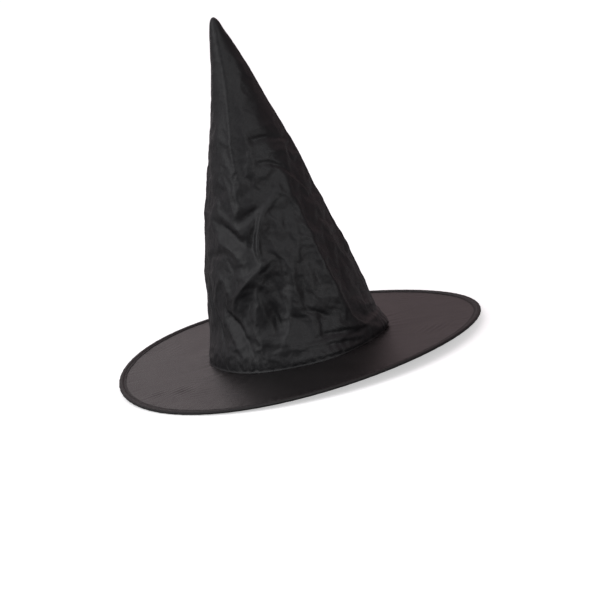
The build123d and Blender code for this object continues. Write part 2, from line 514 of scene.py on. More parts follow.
# Folds of the crumpled crown. Each has its width, whether its crest is sharp, and the places that it
# runs through: azimuth in degrees (-90 is the front), height above the brim and how far it stands out.
FRONT_FOLDS = [
    # the left facet's long ridge, and the crease beside it
    (10, SHARP, [(-92, 334, 0.6), (-105, 310, 1.2), (-111, 262, 2.4), (-114, 222, 3.2),
        (-114, 184, 3.4), (-114, 160, 1.4)]),
    (2.4, SOFT, [(-119, 212, -0.5), (-115, 192, -1.8), (-112, 174, -0.6)]),
    # the two crumpled bands of the upper front
    (3.6, SHARP, [(-78, 233, 0.4), (-58, 232, 1.2), (-36, 230, 0.5)]),
    (4.0, SOFT, [(-86, 221, -1.0), (-68, 221, -2.6), (-48, 219, -2.6), (-22, 213, -1.2)]),
    (3.2, SHARP, [(-70, 209, 0.6), (-54, 206, 1.8), (-36, 203, 0.8)]),
    (3.0, SOFT, [(-82, 199, -0.8), (-66, 196, -2.2), (-52, 188, -2.2), (-42, 179, -0.8)]),
    (2.6, SOFT, [(-86, 238, -0.4), (-83, 226, -1.2), (-79, 214, -0.5)]),
    # the middle of the front: a dark dent, a light diagonal and the puckered line that goes down
    (4.5, SOFT, [(-117, 147, -0.8), (-109, 150, -2.2), (-99, 154, -2.2), (-91, 157, -0.6)]),
    (2.6, SHARP, [(-93, 148, 0.6), (-85, 155, 2.0), (-77, 161, 2.0), (-68, 167, 0.6)]),
    (2.6, SHARP, [(-70, 176, 0.3), (-64, 168, 1.2), (-58, 158, 1.0), (-56, 148, 0.3)]),
    (2.4, SHARP, [(-91, 154, 0.6), (-94, 144, 2.2), (-99, 132, 3.0), (-102, 118, 3.0), (-100, 106, 2.4),
        (-98, 98, 1.2)]),
    (3.2, SOFT, [(-97, 152, -0.6), (-100, 144, -2.2), (-105, 132, -3.0), (-108, 120, -2.6),
        (-107, 110, -1.0)]),
    (2.2, SHARP, [(-88, 148, 0.5), (-91, 137, 1.6), (-94, 126, 1.2), (-95, 116, 0.4)]),
    # the left face: a soft diagonal hollow with a light bank under it, and a dent at its edge
    (6.5, SOFT, [(-147, 148, -0.8), (-136, 141, -3.6), (-124, 133, -4.6), (-114, 124, -3.4),
        (-108, 117, -0.8)]),
    (4.5, SHARP, [(-150, 133, 0.8), (-138, 126, 2.2), (-126, 118, 1.8), (-118, 110, 0.4)]),
    (4.0, SOFT, [(-162, 113, -0.8), (-150, 115, -1.8), (-138, 117, -0.8)]),
    # the lobe that sweeps down to the left from the puckered line, and the hollow under it
    (4.6, SHARP, [(-98, 104, 1.0), (-106, 98, 2.8), (-114, 91, 3.8), (-122, 83, 3.8), (-129, 75, 3.2),
        (-134, 63, 2.2), (-137, 48, 0.8)]),
    (8.0, SOFT, [(-112, 80, -1.8), (-119, 68, -3.0), (-123, 52, -2.2), (-124, 36, -0.6)]),
    # the deep pocket, with its left crest, its pointed bottom and its right bank
    (13.5, SOFT, [(-89, 116, -0.4), (-91, 98, -2.4), (-93, 82, -4.4), (-95, 66, -6.2), (-97, 52, -7.4),
        (-99, 42, -6.4), (-100, 32, -2.4), (-101, 25, -0.4)]),
    (5.0, SHARP, [(-101, 104, 1.0), (-107, 88, 2.0), (-110, 74, 2.2), (-108, 60, 1.8), (-106, 46, 1.4),
        (-104, 36, 0.4)]),
    (3.4, SOFT, [(-103, 62, -0.6), (-101, 50, -2.4), (-100, 38, -2.8), (-99, 30, -0.6)]),
    (6.0, SHARP, [(-77, 100, 0.8), (-81, 80, 2.2), (-86, 62, 3.0), (-91, 46, 3.2), (-95, 32, 2.2),
        (-98, 20, 0.6)]),
    (6.0, SOFT, [(-70, 100, -0.4), (-72, 81, -1.2), (-74, 61, -1.4), (-79, 40, -1.0), (-84, 28, -0.3)]),
    # the straight ridge of the right side, down to the brim
    (12, SHARP, [(-56, 205, 0.6), (-55, 172, 2.2), (-54, 146, 3.2), (-54, 124, 4.0), (-53, 102, 4.4),
        (-52, 81, 4.6), (-50, 59, 4.6), (-48, 42, 4.2), (-46, 28, 3.2), (-46, 12, 1.0)]),
    (3.4, SOFT, [(-77, 49, -0.4), (-71, 46, -1.2), (-65, 40, -1.4), (-59, 35, -0.4)]),
    # the crushed foot at the lower right
    (2.4, SHARP, [(-97, 8, -0.4), (-90, 12, -1.6), (-84, 16, -2.4), (-77, 19, -3.0), (-69, 22, -3.4),
        (-62, 20, -3.0), (-55, 16, -2.2), (-47, 14, -0.8)]),
    (2.2, SHARP, [(-80, 15, 0.6), (-70, 17, 1.8), (-62, 16, 2.0), (-53, 12, 1.6), (-45, 9, 0.6)]),
    (2.2, SHARP, [(-82, 10, -0.4), (-70, 12, -1.6), (-61, 9.5, -1.8), (-52, 7, -1.2), (-43, 6, -0.4)]),
    (3.0, SOFT, [(-96, 5, 0.4), (-82, 7, 1.0), (-68, 6.5, 1.2), (-56, 4, 0.8), (-44, 3, 0.3)]),
    (2.2, SHARP, [(-60, 27, 0.4), (-54, 24, 1.6), (-47, 21, 1.6), (-40, 17, 0.5)]),
    # creases of the lower left
    (2.6, SHARP, [(-144, 60, -0.6), (-140, 54, -3.0), (-134, 48, -3.8), (-129, 40, -3.4),
        (-125, 30, -2.2), (-122, 18, -0.6)]),
    (4.5, SHARP, [(-148, 56, 0.6), (-142, 42, 2.2), (-135, 30, 2.2), (-129, 16, 0.6)]),
    (2.2, SHARP, [(-158, 70, 0.5), (-153, 84, 1.6), (-147, 93, 1.9), (-142, 90, 1.7), (-139, 80, 1.4),
        (-140, 70, 0.4)]),
    (2.4, SOFT, [(-160, 58, -0.5), (-156, 46, -1.8), (-152, 34, -1.6), (-148, 24, -0.5)]),
    (2.6, SOFT, [(-170, 96, -0.5), (-168, 76, -1.6), (-165, 54, -1.6), (-163, 36, -0.5)]),
    # the right facet's foot
    (2.8, SHARP, [(-46, 28, 0.6), (-41, 22, 1.8), (-34, 14, 1.8), (-26, 10, 0.6)]),
    (3.0, SOFT, [(-42, 34, -0.4), (-35, 27, -1.2), (-26, 20, -1.2), (-14, 17, -0.4)]),
    (3.2, SHARP, [(-36, 42, 0.5), (-27, 34, 1.6), (-15, 30, 1.4), (-4, 28, 0.5)]),
    (7.0, SOFT, [(-34, 8, 1.0), (-20, 7, 3.0), (-8, 5, 3.4), (6, 6, 1.0)]),
]
BACK_FOLDS = [
    (11, SHARP, [(-6, 320, 0.8), (-2, 270, 2.2), (-2, 215, 2.8), (-4, 150, 2.6), (-4, 96, 2.4),
        (-5, 50, 1.0)]),
    (11, SHARP, [(66, 310, 1.2), (60, 240, 3.4), (54, 180, 4.6), (49, 120, 5.0), (45, 62, 4.4),
        (42, 26, 1.2)]),
    (11, SHARP, [(122, 310, 1.2), (128, 250, 3.2), (132, 182, 4.4), (131, 112, 5.0), (134, 54, 4.0),
        (138, 22, 1.2)]),
    (12, SOFT, [(96, 128, -1.5), (99, 98, -6.5), (103, 70, -7.5), (106, 40, -2.0)]),
    (5.0, SHARP, [(84, 132, 1.0), (82, 108, 2.8), (83, 84, 2.8), (87, 60, 1.0)]),
    (10, SOFT, [(22, 132, -1.5), (25, 106, -5.0), (21, 80, -5.5), (17, 52, -1.5)]),
    (4.0, SOFT, [(58, 174, -1.0), (74, 165, -3.4), (90, 152, -3.6), (108, 147, -1.2)]),
    (3.2, SHARP, [(60, 160, 0.6), (72, 152, 1.8), (86, 141, 1.8), (98, 136, 0.6)]),
    (3.6, SHARP, [(6, 194, 0.8), (20, 186, 2.4), (36, 172, 2.4), (48, 160, 0.8)]),
    (5.0, SOFT, [(140, 154, -1.0), (150, 135, -3.8), (162, 120, -3.8), (172, 112, -1.0)]),
    (3.0, SHARP, [(146, 128, 0.6), (156, 112, 2.0), (166, 103, 1.8), (176, 98, 0.5)]),
    (2.8, SHARP, [(98, 76, 0.6), (110, 67, 2.2), (122, 53, 2.4), (128, 36, 0.8)]),
    (2.6, SHARP, [(54, 40, -0.8), (68, 27, -2.8), (84, 20, -3.0), (100, 17, -0.8)]),
    (2.8, SOFT, [(146, 62, -0.8), (157, 46, -2.8), (164, 28, -2.8), (169, 18, -0.8)]),
    (3.4, SOFT, [(30, 236, -0.6), (52, 230, -2.4), (76, 226, -2.4), (96, 228, -0.6)]),
    (3.0, SHARP, [(34, 226, 0.5), (56, 219, 1.6), (80, 214, 1.6), (100, 216, 0.4)]),
    (3.0, SOFT, [(136, 216, -0.5), (150, 205, -2.0), (166, 200, -2.0), (178, 203, -0.5)]),
]
CREST = 1.1 * MM  # how rounded a sharp crest is
SLIMMING = 60 * MM, 0.35  # folds are slimmer where the crown's radius is less, down to that share
# Corners between the cone's flattened sides, as azimuths, and how flat those sides are.
CORNERS = np.radians([-114, -52, -3, 54, 130, 179])
FLATNESS = 0.40
# The deep pocket's middle, as azimuth and height, and its reach sideways and upwards. It has few creases.
POCKET_AZIMUTH, POCKET_HEIGHT = radians(-94), 72 * MM
POCKET_ACROSS, POCKET_UP = 17 * MM, 34 * MM
# The crown's creases: depth, size, how much they are drawn out upwards, and the noise's seed.
CREASES = [(2.8 * MM, 26 * MM, 0.4, 1), (-1.6 * MM, 14 * MM, 0.5, 2)]
FINE_CREASE, FINE_CREASE_SIZE = 0.7, 8 * MM  # the smallest creases, whose depth is in mm
FINE_CRUMPLE, FINE_CRUMPLE_SIZE = 0.15, 3.5 * MM
CALM_TOP = 0.65  # how much calmer the upper crown is
# Where the foot stands out over the brim: azimuth and spread in degrees, distance and height in mm.
FOOT_BULGES = [(-72, 30, 3.2, 16), (-178, 30, 3.0, 16), (0, 24, 1.6, 18), (90, 80, 3.0, 22)]
PUCKER_DEPTH = 0.32 * MM
PUCKER_HEIGHT = 11 * MM  # how soon the puckers fade upwards
BAND_LEAN = 1.8 * MM  # how far the headband's top leans in
BAND_CLEARANCE = 0.3 * MM
CLOSING_IN = 1.2  # how fast the crown may close in over the headband, as a slope


def flattened(angle, radius):
    """How far the cloth lies inside the round cone, because its sides are flattened between corners."""
    around = np.sort(CORNERS % TURN)
    ends = np.append(around, around[0] + TURN)
    at = (angle - around[0]) % TURN + around[0]
    index = np.clip(np.searchsorted(ends, at, side="right") - 1, 0, len(around) - 1)
    half = (ends[index + 1] - ends[index]) / 2
    middle = ends[index] + half
    chord = np.cos(half) / np.cos(np.clip(at - middle, -half, half))
    return -FLATNESS * radius * (1 - chord)


def along_fold(stops, angle, height, radius):
    """Each point's distance from a fold's line, and how far the fold stands out beside it."""
    nearest = np.full(len(angle), np.inf)
    value = np.zeros(len(angle))
    for (a0, z0, d0), (a1, z1, d1) in zip(stops, stops[1:]):
        dx, dz = (a1 - a0) * radius, z1 - z0
        x = ((angle - (a0 + a1) / 2 + pi) % TURN - pi) * radius + dx / 2
        share = np.clip((x * dx + (height - z0) * dz) / np.maximum(dx**2 + dz**2, 1e-12), 0, 1)
        away = np.hypot(x - share * dx, height - z0 - share * dz)
        value = np.where(away < nearest, d0 + share * (d1 - d0), value)
        nearest = np.minimum(away, nearest)
    return nearest, value


def fold_relief(angle, height, radius):
    """How far the folds push each point outwards."""
    relief = np.zeros(len(angle))
    for width, sharp, stops in FRONT_FOLDS + BACK_FOLDS:
        stops = np.array(stops, float) * (radians(1), MM, MM)
        away, value = along_fold(stops, angle, height, radius)
        slim = width * MM * np.clip(radius / SLIMMING[0], SLIMMING[1], 1)
        if sharp:
            relief += value * np.exp(-(np.sqrt(away**2 + CREST**2) - CREST) / slim)
        else:
            relief += value * bell(away, slim)
    return relief


def crumple(points, size, seed):
    """Smooth noise from -1 to 1 with features of that size, one value for each point."""
    shift = Vector((seed * 7.3, seed * 3.1, seed * 5.7))
    return np.array([noise.noise(Vector(p) / size + shift) for p in points])


def creased(points, size, seed):
    """Noise with the narrow crests of crushed cloth between smooth hollows, from about -0.4 to 0.25."""
    return 0.25 - np.sqrt(crumple(points, size, seed) ** 2 + 0.03**2)


def bump_window(angle, middle, spread):
    """1 at the middle azimuth, falling to 0 over the spread. Those two are in degrees."""
    away = np.abs((np.degrees(angle) - middle + 180) % 360 - 180)
    return smooth(1 - away / spread)


def foot_relief(angle, height):
    """The crown's foot: small puckers over the seam, and the roll of cloth that overhangs it."""
    low = np.exp(-height / PUCKER_HEIGHT) * rise(height, 0, 3)
    puckers = np.sin(58 * angle + 2.5 * np.sin(5 * angle)) + 0.7 * np.sin(83 * angle + 2 * np.sin(7 * angle))
    relief = low * PUCKER_DEPTH * puckers * (0.6 + bump_window(angle, -135, 40))
    for middle, spread, out, reach in FOOT_BULGES:
        relief += bump_window(angle, middle, spread) * out * MM * bell(height, reach * MM)
    return relief


def clear_of_band(points):
    """Pushes points out where the crown would come through the headband."""
    radius = np.hypot(points[:, 0], points[:, 1])
    height = points[:, 2] - lift(points[:, 0], points[:, 1])
    up = np.clip((height - band_bottom) / (band_top - band_bottom), 0, 1)
    over = np.maximum(height - band_top, 0)
    least = band_radius - BAND_LEAN * up + CLOTH + BAND_CLEARANCE - CLOSING_IN * over
    scale = np.maximum(least / np.maximum(radius, 1e-9), 1)
    return points * np.stack([scale, scale, np.ones(len(points))], -1)


def crushed_share(height):
    """How crushed the cloth is: less and less from the crown's middle up to its point."""
    return 1 - CALM_TOP * rise(height, 170, 90)


def crown_target(places):
    """Where the crumpled crown's points should come to."""
    height, radius, lean, angle = places[:, :4].T
    at = polar(radius, angle, height)
    open_part = rise(height, 6, 40) * (1 - rise(height, 334, 12))
    push = flattened(angle, radius) * open_part * (1 - rise(height, 170, 70))
    push += fold_relief(angle, height, radius) * rise(height, 0, 3)
    in_pocket = bell((angle - POCKET_AZIMUTH) * radius, POCKET_ACROSS)
    in_pocket *= bell(height - POCKET_HEIGHT, POCKET_UP)
    sides = 0.35 + 0.65 * np.abs(np.sin(angle))  # the front and back are more crushed than the sides
    crushed = open_part * crushed_share(height) * sides * (1 - 0.7 * in_pocket)
    for depth, size, drawn, seed in CREASES:
        push += crushed * depth * creased(at * (1, 1, drawn), size, seed)
    push += foot_relief(angle, height)
    points = polar(radius + push, angle, height + upper_face)
    points[:, 0] -= lean
    return clear_of_band(lifted(points))


def plain_crown(places):
    points = polar(places[:, 1], places[:, 3], places[:, 0] + upper_face)
    points[:, 0] -= places[:, 2]
    return lifted(points)


# ---------------- crown: cloth simulation
SPARE_CLOTH = 0.022  # how much longer the cloth is than the plain cone
HOLD = 0.22  # how firmly the cloth is held near its place
FRAMES = 32
MOST_MOVE = 0.8 * MM  # how far the settling may move a point


def simulate_crown(piece, plain, places):
    """Lets the cloth settle: it has a little more length than its place, so it crumples by itself."""
    piece.shape_key_add(name="Basis")
    cut = piece.shape_key_add(name="cut")
    cut.data.foreach_set("co", plain.astype(np.float32).ravel())
    held = piece.vertex_groups.new(name="held")
    free = rise(places[:, 0], 3, 12) * (1 - rise(places[:, 0], 328, 16))
    for k, share in enumerate(free):
        held.add([k], float(1 + (HOLD - 1) * share), "REPLACE")
    cloth = piece.modifiers.new("cloth", "CLOTH")
    settings = cloth.settings
    settings.quality = 8
    settings.mass = 0.12
    settings.tension_stiffness = settings.compression_stiffness = 60
    settings.shear_stiffness = 25
    settings.bending_stiffness = 0.12
    settings.tension_damping = settings.compression_damping = settings.shear_damping = 8
    settings.bending_damping = 0.5
    settings.air_damping = 4
    settings.vertex_group_mass = "held"
    settings.pin_stiffness = 6
    settings.shrink_min = -SPARE_CLOTH
    settings.rest_shape_key = cut
    cloth.collision_settings.use_collision = False
    cloth.collision_settings.use_self_collision = False
    cloth.point_cache.frame_start = 1
    cloth.point_cache.frame_end = FRAMES
    for step in range(1, FRAMES + 1):
        bpy.context.scene.frame_set(step)
    settled = piece.evaluated_get(bpy.context.evaluated_depsgraph_get())
    points = np.zeros(len(settled.data.vertices) * 3)
    settled.data.vertices.foreach_get("co", points)
    bpy.context.scene.frame_set(1)
    return points.reshape(-1, 3)


def capped(start, end, most):
    """The end points, where none has moved more than most. Small moves are kept as they are."""
    move = end - start
    size = np.maximum(np.linalg.norm(move, axis=1), 1e-9)[:, None]
    return start + move * most * np.tanh(size / most) / size


def face_edges(faces):
    return np.concatenate([faces[:, [0, 1]], faces[:, [1, 2]], faces[:, [2, 0]]])


def finer(points, faces, extra):
    """One round of Loop subdivision of triangles. extra holds more values for each point, which are
    averaged along edges. Points on an open edge stay on it."""
    across = np.concatenate([faces[:, 2], faces[:, 0], faces[:, 1]])
    unique, inverse = np.unique(np.sort(face_edges(faces), axis=1), axis=0, return_inverse=True)
    inverse = inverse.ravel()
    uses = np.bincount(inverse, minlength=len(unique))
    opposite = np.zeros((len(unique), 3))
    np.add.at(opposite, inverse, points[across])
    ends = points[unique[:, 0]] + points[unique[:, 1]]
    middle = np.where((uses == 2)[:, None], ends * 3 / 8 + opposite / 8, ends / 2)
    count = len(points)
    total, near = np.zeros((count, 3)), np.zeros(count)
    for a, b in ((0, 1), (1, 0)):
        np.add.at(total, unique[:, a], points[unique[:, b]])
        np.add.at(near, unique[:, a], 1)
    weight = (5 / 8 - (3 / 8 + np.cos(TURN / near) / 4) ** 2)[:, None]
    moved = points * (1 - weight) + total / near[:, None] * weight
    border = unique[uses == 1].ravel()
    moved[border] = points[border]
    a, b, c = faces.T
    ab, bc, ca = inverse.reshape(3, -1) + count
    split = np.concatenate([np.stack(t, 1) for t in ((a, ab, ca), (ab, b, bc), (ca, bc, c), (ab, bc, ca))])
    more = np.concatenate([extra, (extra[unique[:, 0]] + extra[unique[:, 1]]) / 2])
    return np.concatenate([moved, middle]), split, more


def point_normals(points, faces):
    a, b, c = (points[faces[:, k]] for k in range(3))
    across = np.cross(b - a, c - a)
    total = np.zeros_like(points)
    for k in range(3):
        np.add.at(total, faces[:, k], across)
    return total / np.maximum(np.linalg.norm(total, axis=1), 1e-15)[:, None]


def make_crown():
    """The crown's outer surface: points, triangles, and each point's slant and azimuth."""
    places, faces = cone_mesh()
    points = crown_target(places)
    rough = add_mesh("crown_before", points, faces.tolist())
    settled = simulate_crown(rough, plain_crown(places), places)
    points = capped(points, settled, MOST_MOVE * crushed_share(places[:, :1]))
    bpy.data.objects.remove(rough)
    around = np.stack([places[:, 0], places[:, 4], np.cos(places[:, 3]), np.sin(places[:, 3])], -1)
    points, faces, extra = finer(points, faces, around)
    height, slant = extra[:, 0], extra[:, 1]
    fine = FINE_CREASE * creased(points * (1, 1, 0.6), FINE_CREASE_SIZE, 5)
    fine += FINE_CRUMPLE * crumple(points, FINE_CRUMPLE_SIZE, 6)
    fine *= MM * rise(height, 0, 4) * crushed_share(height)
    points = points + point_normals(points, faces) * fine[:, None]
    return clear_of_band(points), faces, slant, np.arctan2(extra[:, 3], extra[:, 2])


def thick_shell(name, points, faces, thickness):
    """A closed shell whose outer face is the given surface."""
    count = len(points)
    inner = points - thickness * point_normals(points, faces)
    edges = face_edges(faces).tolist()
    known = {tuple(edge) for edge in edges}
    rim = [(b, a, a + count, b + count) for a, b in edges if (b, a) not in known]
    inside = (faces[:, ::-1] + count).tolist()
    return add_mesh(name, np.concatenate([points, inner]), faces.tolist() + inside + rim)


def lay_in_fan(piece, slant, angle):
    """Gives each face corner its place in the flat fan that the crown is cut from, in metres. A face
    over the seam keeps to one side of the fan."""
    slope = crown_radius / slant.max()
    turn = np.tile((angle - BACK) % TURN, 2)
    slant = np.tile(slant, 2)
    mesh = piece.data
    corner = corner_points(mesh)
    first = np.zeros(len(mesh.polygons), np.int32)
    mesh.polygons.foreach_get("loop_start", first)
    size = np.diff(np.append(first, len(corner)))
    turns = turn[corner]
    spread = np.maximum.reduceat(turns, first) - np.minimum.reduceat(turns, first)
    crosses = np.repeat(spread > pi, size)
    turns = np.where(crosses & (turns < pi), turns + TURN, turns) * slope
    set_cut(mesh, np.stack([slant[corner] * np.sin(turns), -slant[corner] * np.cos(turns)], -1))


crown_points, crown_faces, crown_slant, crown_angle = make_crown()
crown = thick_shell("crown_panel", crown_points, crown_faces, CLOTH)
lay_in_fan(crown, crown_slant, crown_angle)
dress(crown, crown_cloth, "crown")

# ---------------- brim cloths
BRIM_ROWS = 58
BRIM_COLUMNS = 720
BETWEEN_CLOTHS = 0.02 * MM  # from the middle plane to each cloth
BRIM_WAVE = 0.9 * MM  # the height of its slow waves, and how many go round the hat
BRIM_WAVES = (2, 3, 5, 7)
RIM_PUCKER, RIM_REACH = 0.14 * MM, 7 * MM  # puckers at the binding: their height, and how far in they go
ROOT_PUCKER, ROOT_REACH = 0.16 * MM, 16 * MM  # and at the head opening
# Bundles of tension wrinkles: azimuth, distance from the centre, direction of the wrinkles, length,
# width of the bundle, depth and the distance between wrinkles. Degrees and mm.
BRIM_WRINKLES = [
    (-156, 163, 20, 10, 9, 0.34, 6.5),
    (-149, 145, 30, 12, 14, 0.34, 6.5),
    (-151, 111, -24, 17, 12, 0.30, 7),
    (-137, 138, -10, 16, 13, 0.20, 7),
    (-121, 143, -30, 14, 10, 0.16, 8),
    (-24, 150, 60, 14, 16, 0.24, 8),
    (38, 158, -50, 13, 18, 0.16, 7),
    (84, 118, 20, 16, 14, 0.16, 8),
    (150, 152, 50, 14, 18, 0.14, 7),
]


def wrinkles(radius, angle):
    """The bundles of short tension wrinkles on the brim."""
    x, y = radius * np.cos(angle), radius * np.sin(angle)
    relief = 0
    for middle, out, slant, length, across, depth, pitch in BRIM_WRINKLES:
        right, up = cos(radians(slant)), sin(radians(slant))
        dx = x - out * MM * cos(radians(middle))
        dy = y - out * MM * sin(radians(middle))
        u = dx * right + dy * up
        v = dy * right - dx * up
        window = bell(u, length * MM) * bell(v, across * MM)
        relief = relief + depth * MM * window * np.cos(TURN * v / (pitch * MM) + 0.5 * np.sin(u / (9 * MM)))
    return relief


def brim_relief(radius, angle):
    """How far the brim's cloth lies off its flat place: slow waves, tension wrinkles and puckers."""
    share = (radius - band_radius) / (binding_inner - band_radius)
    relief = sum(np.cos(n * angle + 1.7 * n) / n for n in BRIM_WAVES) * BRIM_WAVE
    relief = relief * np.sin(pi * np.clip(share, 0, 1))
    rim = np.exp(-(cloth_radius - radius) / RIM_REACH)
    relief = relief + RIM_PUCKER * rim * ripples(angle, (131, 0), (97, 2), (59, 4))
    root = np.exp(-(radius - band_radius) / ROOT_REACH)
    relief = relief + ROOT_PUCKER * root * ripples(angle, (37, 0), (52, 1), (23, 3))
    relief = relief + wrinkles(radius, angle)
    return relief * smooth((binding_inner - radius) / (6 * MM) + 0.15)


def brim_place(radius, angle, height):
    return lifted(polar(radius, angle, height + brim_relief(radius, angle)))


def brim_ring(name, node_name, bottom, top):
    """One ring of brim cloth, as a thin closed solid."""
    out = np.linspace(band_radius, cloth_radius, BRIM_ROWS)
    profile = [(r, bottom) for r in out] + [(r, top) for r in out[::-1]]
    ring = ring_solid(name, profile, BRIM_COLUMNS, brim_place)
    flat = np.array([v.co[:2] for v in ring.data.vertices])
    set_cut(ring.data, flat[corner_points(ring.data)])
    dress(ring, brim_cloth, node_name)
    return ring


brim_upper = brim_ring("brim_top_cloth", "brim_upper_cloth", mid_plane + BETWEEN_CLOTHS, upper_face)
brim_under = brim_ring("brim_lining_cloth", "brim_under_cloth", under_face, mid_plane - BETWEEN_CLOTHS)

# ---------------- binding, wire and stitches
channel_radius = bead_radius - TAPE
BINDING_COLUMNS = 840
GROOVE_WIDTH = 0.8 * MM
TAPE_RIPPLE = 0.07 * MM
TAPE_WANDER = 0.16 * MM  # how far its free edge wanders
BEAD_SWELL = 0.10 * MM


def binding_profile():
    """The folded tape's section: round the wire outside, then two legs that lie on the brim cloths."""
    outline = []
    for outer in (True, False):
        reach = bead_radius if outer else channel_radius
        leg = (upper_face - mid_plane) + (TAPE if outer else 0)
        half = [(wire_line + reach * cos(t), reach * sin(t)) for t in np.linspace(0, pi / 2, 7)]
        half.append((wire_line - BEAD_FLAT, reach))
        for share in (0.2, 0.4, 0.6, 0.8):
            half.append((wire_line - BEAD_FLAT - BEAD_RUN * share, reach + (leg - reach) * smooth(share)))
        half += [(r, leg) for r in np.linspace(cloth_radius, binding_inner, 7)]
        lower = [(r, -z) for r, z in half[::-1]]
        both = lower + half[1:]
        outline += both if outer else both[::-1]
    return [(r, mid_plane + z) for r, z in outline]


def binding_place(radius, angle, height):
    """The tape is drawn down along its stitches, its free edge wanders, and its bead is a little uneven."""
    on_leg = smooth((cloth_radius - radius) / (2 * MM))
    side = np.sign(height - mid_plane)
    outside = on_leg * smooth((np.abs(height - mid_plane) - 0.5 * MM) / (0.3 * MM))
    pull = 0.8 + 0.2 * np.cos(angle * floor(TURN * stitch_radius / STITCH_PITCH))
    off = -STITCH_GROOVE * bell(radius - stitch_radius, GROOVE_WIDTH) * pull * outside
    off = off + TAPE_RIPPLE * outside * ripples(angle, (131, 1), (97, 3))
    wander = TAPE_WANDER * on_leg * (np.sin(23 * angle + 2 * np.sin(7 * angle)) + 0.6 * np.sin(61 * angle))
    swell = BEAD_SWELL * (1 - on_leg) * (np.sin(71 * angle) + np.sin(113 * angle + 2))
    relief = brim_relief(np.minimum(radius, cloth_radius), angle) * on_leg
    return lifted(polar(radius + wander + swell, angle, height + side * off + relief))


binding = ring_solid("edge_binding", binding_profile(), BINDING_COLUMNS, binding_place)
dress(binding, binding_tape, "brim_binding")

STITCH_SHARES = np.linspace(-0.5, 0.5, 7)  # places along one stitch, from its middle
STITCH_DIVES = np.array([1, 0.35, 0.05, 0, 0.05, 0.35, 1])  # how deep it is there, as a share
STITCH_DIVE = 0.2 * MM  # how far a stitch's ends go down into the cloth
STITCH_OVER = 0.12 * MM  # from the tape's face to the thread's middle


def stitch_ring(name, node_name, height, dive):
    """A round of stitches. dive is how far their ends go down, or up where it is negative."""
    count = floor(TURN * stitch_radius / STITCH_PITCH)
    radius = np.full(len(STITCH_SHARES), stitch_radius)
    paths = []
    for k in range(count):
        at = (k + 0.5) * TURN / count + STITCH_SHARES * STITCH_LENGTH / stitch_radius
        paths.append(binding_place(radius, at, height - dive * STITCH_DIVES))
    dress(threads(name, paths, THREAD), black_thread, node_name)


stitch_ring("top_stitching", "binding_top_stitches", upper_face + TAPE + STITCH_OVER, STITCH_DIVE)
stitch_ring("under_stitching", "binding_under_stitches", under_face - TAPE - STITCH_OVER, -STITCH_DIVE)


def arc_tube(name, start, end, tube_radius, sides, steps, squeeze=None, hollow=None):
    """A tube along the wire's line from one azimuth to another. squeeze(share) scales its radius, and
    hollow is the radius of a bore through it."""
    around = np.arange(sides) * TURN / sides
    points, faces = [], []
    walls = [tube_radius] if hollow is None else [tube_radius, hollow]
    for w, wall in enumerate(walls):
        for k, a in enumerate(np.linspace(start, end, steps)):
            reach = wall * (squeeze(k / (steps - 1)) if squeeze and w == 0 else 1)
            height = mid_plane + reach * np.sin(around)
            points += list(lifted(polar(wire_line + reach * np.cos(around), np.full(sides, a), height)))
        quads = skin(w * steps * sides, steps, sides)
        faces += [q[1:] + q[:1] for q in quads] if w else [q[:1] + q[:0:-1] for q in quads]
    last, bore = (steps - 1) * sides, steps * sides
    if hollow is None:
        faces.append(tuple(range(sides)))
        faces.append(tuple(range(last, last + sides))[::-1])
    else:
        for s in range(sides):
            t = (s + 1) % sides
            faces.append((s, t, bore + t, bore + s))
            faces.append((last + t, last + s, bore + last + s, bore + last + t))
    return add_mesh(name, points, faces, [(p[0], p[2]) for p in points])


WIRE_GAP = 1.0 * MM  # between the hoop's ends, inside the sleeve
SLEEVE_LENGTH = 16 * MM
gap_half = WIRE_GAP / 2 / wire_line
wire = arc_tube("sprung_hoop", BACK + gap_half, BACK + TURN - gap_half, wire_radius, 12, 361)
dress(wire, spring_steel, "brim_hoop_wire")


def crimps(share):
    """The sleeve's outline: two crimped places and softened ends."""
    dents = sum(bell(share - at, 0.06) for at in (0.25, 0.75))
    ends = smooth(min(share, 1 - share) / 0.04)
    return 0.97 - 0.10 * dents - 0.06 * (1 - ends)


sleeve_half = SLEEVE_LENGTH / 2 / wire_line
sleeve_bore = wire_radius + 0.02 * MM
sleeve = arc_tube(
    "crimped_sleeve", BACK - sleeve_half, BACK + sleeve_half, sleeve_radius, 16, 41, crimps, sleeve_bore
)
dress(sleeve, sleeve_metal, "hoop_joining_sleeve")

# ---------------- headband
BAND_ROWS = 13
BAND_COLUMNS = 480
BAND_EDGE = 0.2 * MM  # how far the band's edges are rounded off
BAND_BOW = 0.15 * MM
BAND_WAVE = 0.3 * MM
OPENING_STITCH_HEIGHT = 2.2 * MM


def band_place(radius, angle, height):
    """The headband's wall bows in a little between its edges and waves along its top."""
    up = (height - band_bottom) / (band_top - band_bottom)
    bow = BAND_LEAN * np.clip(up, 0, 1) + BAND_BOW * smooth(up) * (1 + np.sin(9 * angle + 1))
    wave = BAND_WAVE * smooth(up) * np.sin(13 * angle + 2)
    return lifted(polar(radius - bow, angle, height + wave))


def band_profile():
    """The headband's section, with rounded edges: up its inner wall and down its outer one."""
    heights = np.linspace(band_bottom, band_top, BAND_ROWS)
    trim = np.where(np.isin(np.arange(BAND_ROWS), (0, BAND_ROWS - 1)), BAND_EDGE, 0)
    inner = np.stack([head_radius + trim, heights], -1)
    outer = np.stack([band_radius - trim, heights], -1)
    return np.concatenate([inner, outer[::-1]])


headband = ring_solid("head_band", band_profile(), BAND_COLUMNS, band_place)
dress(headband, headband_tape, "headband")


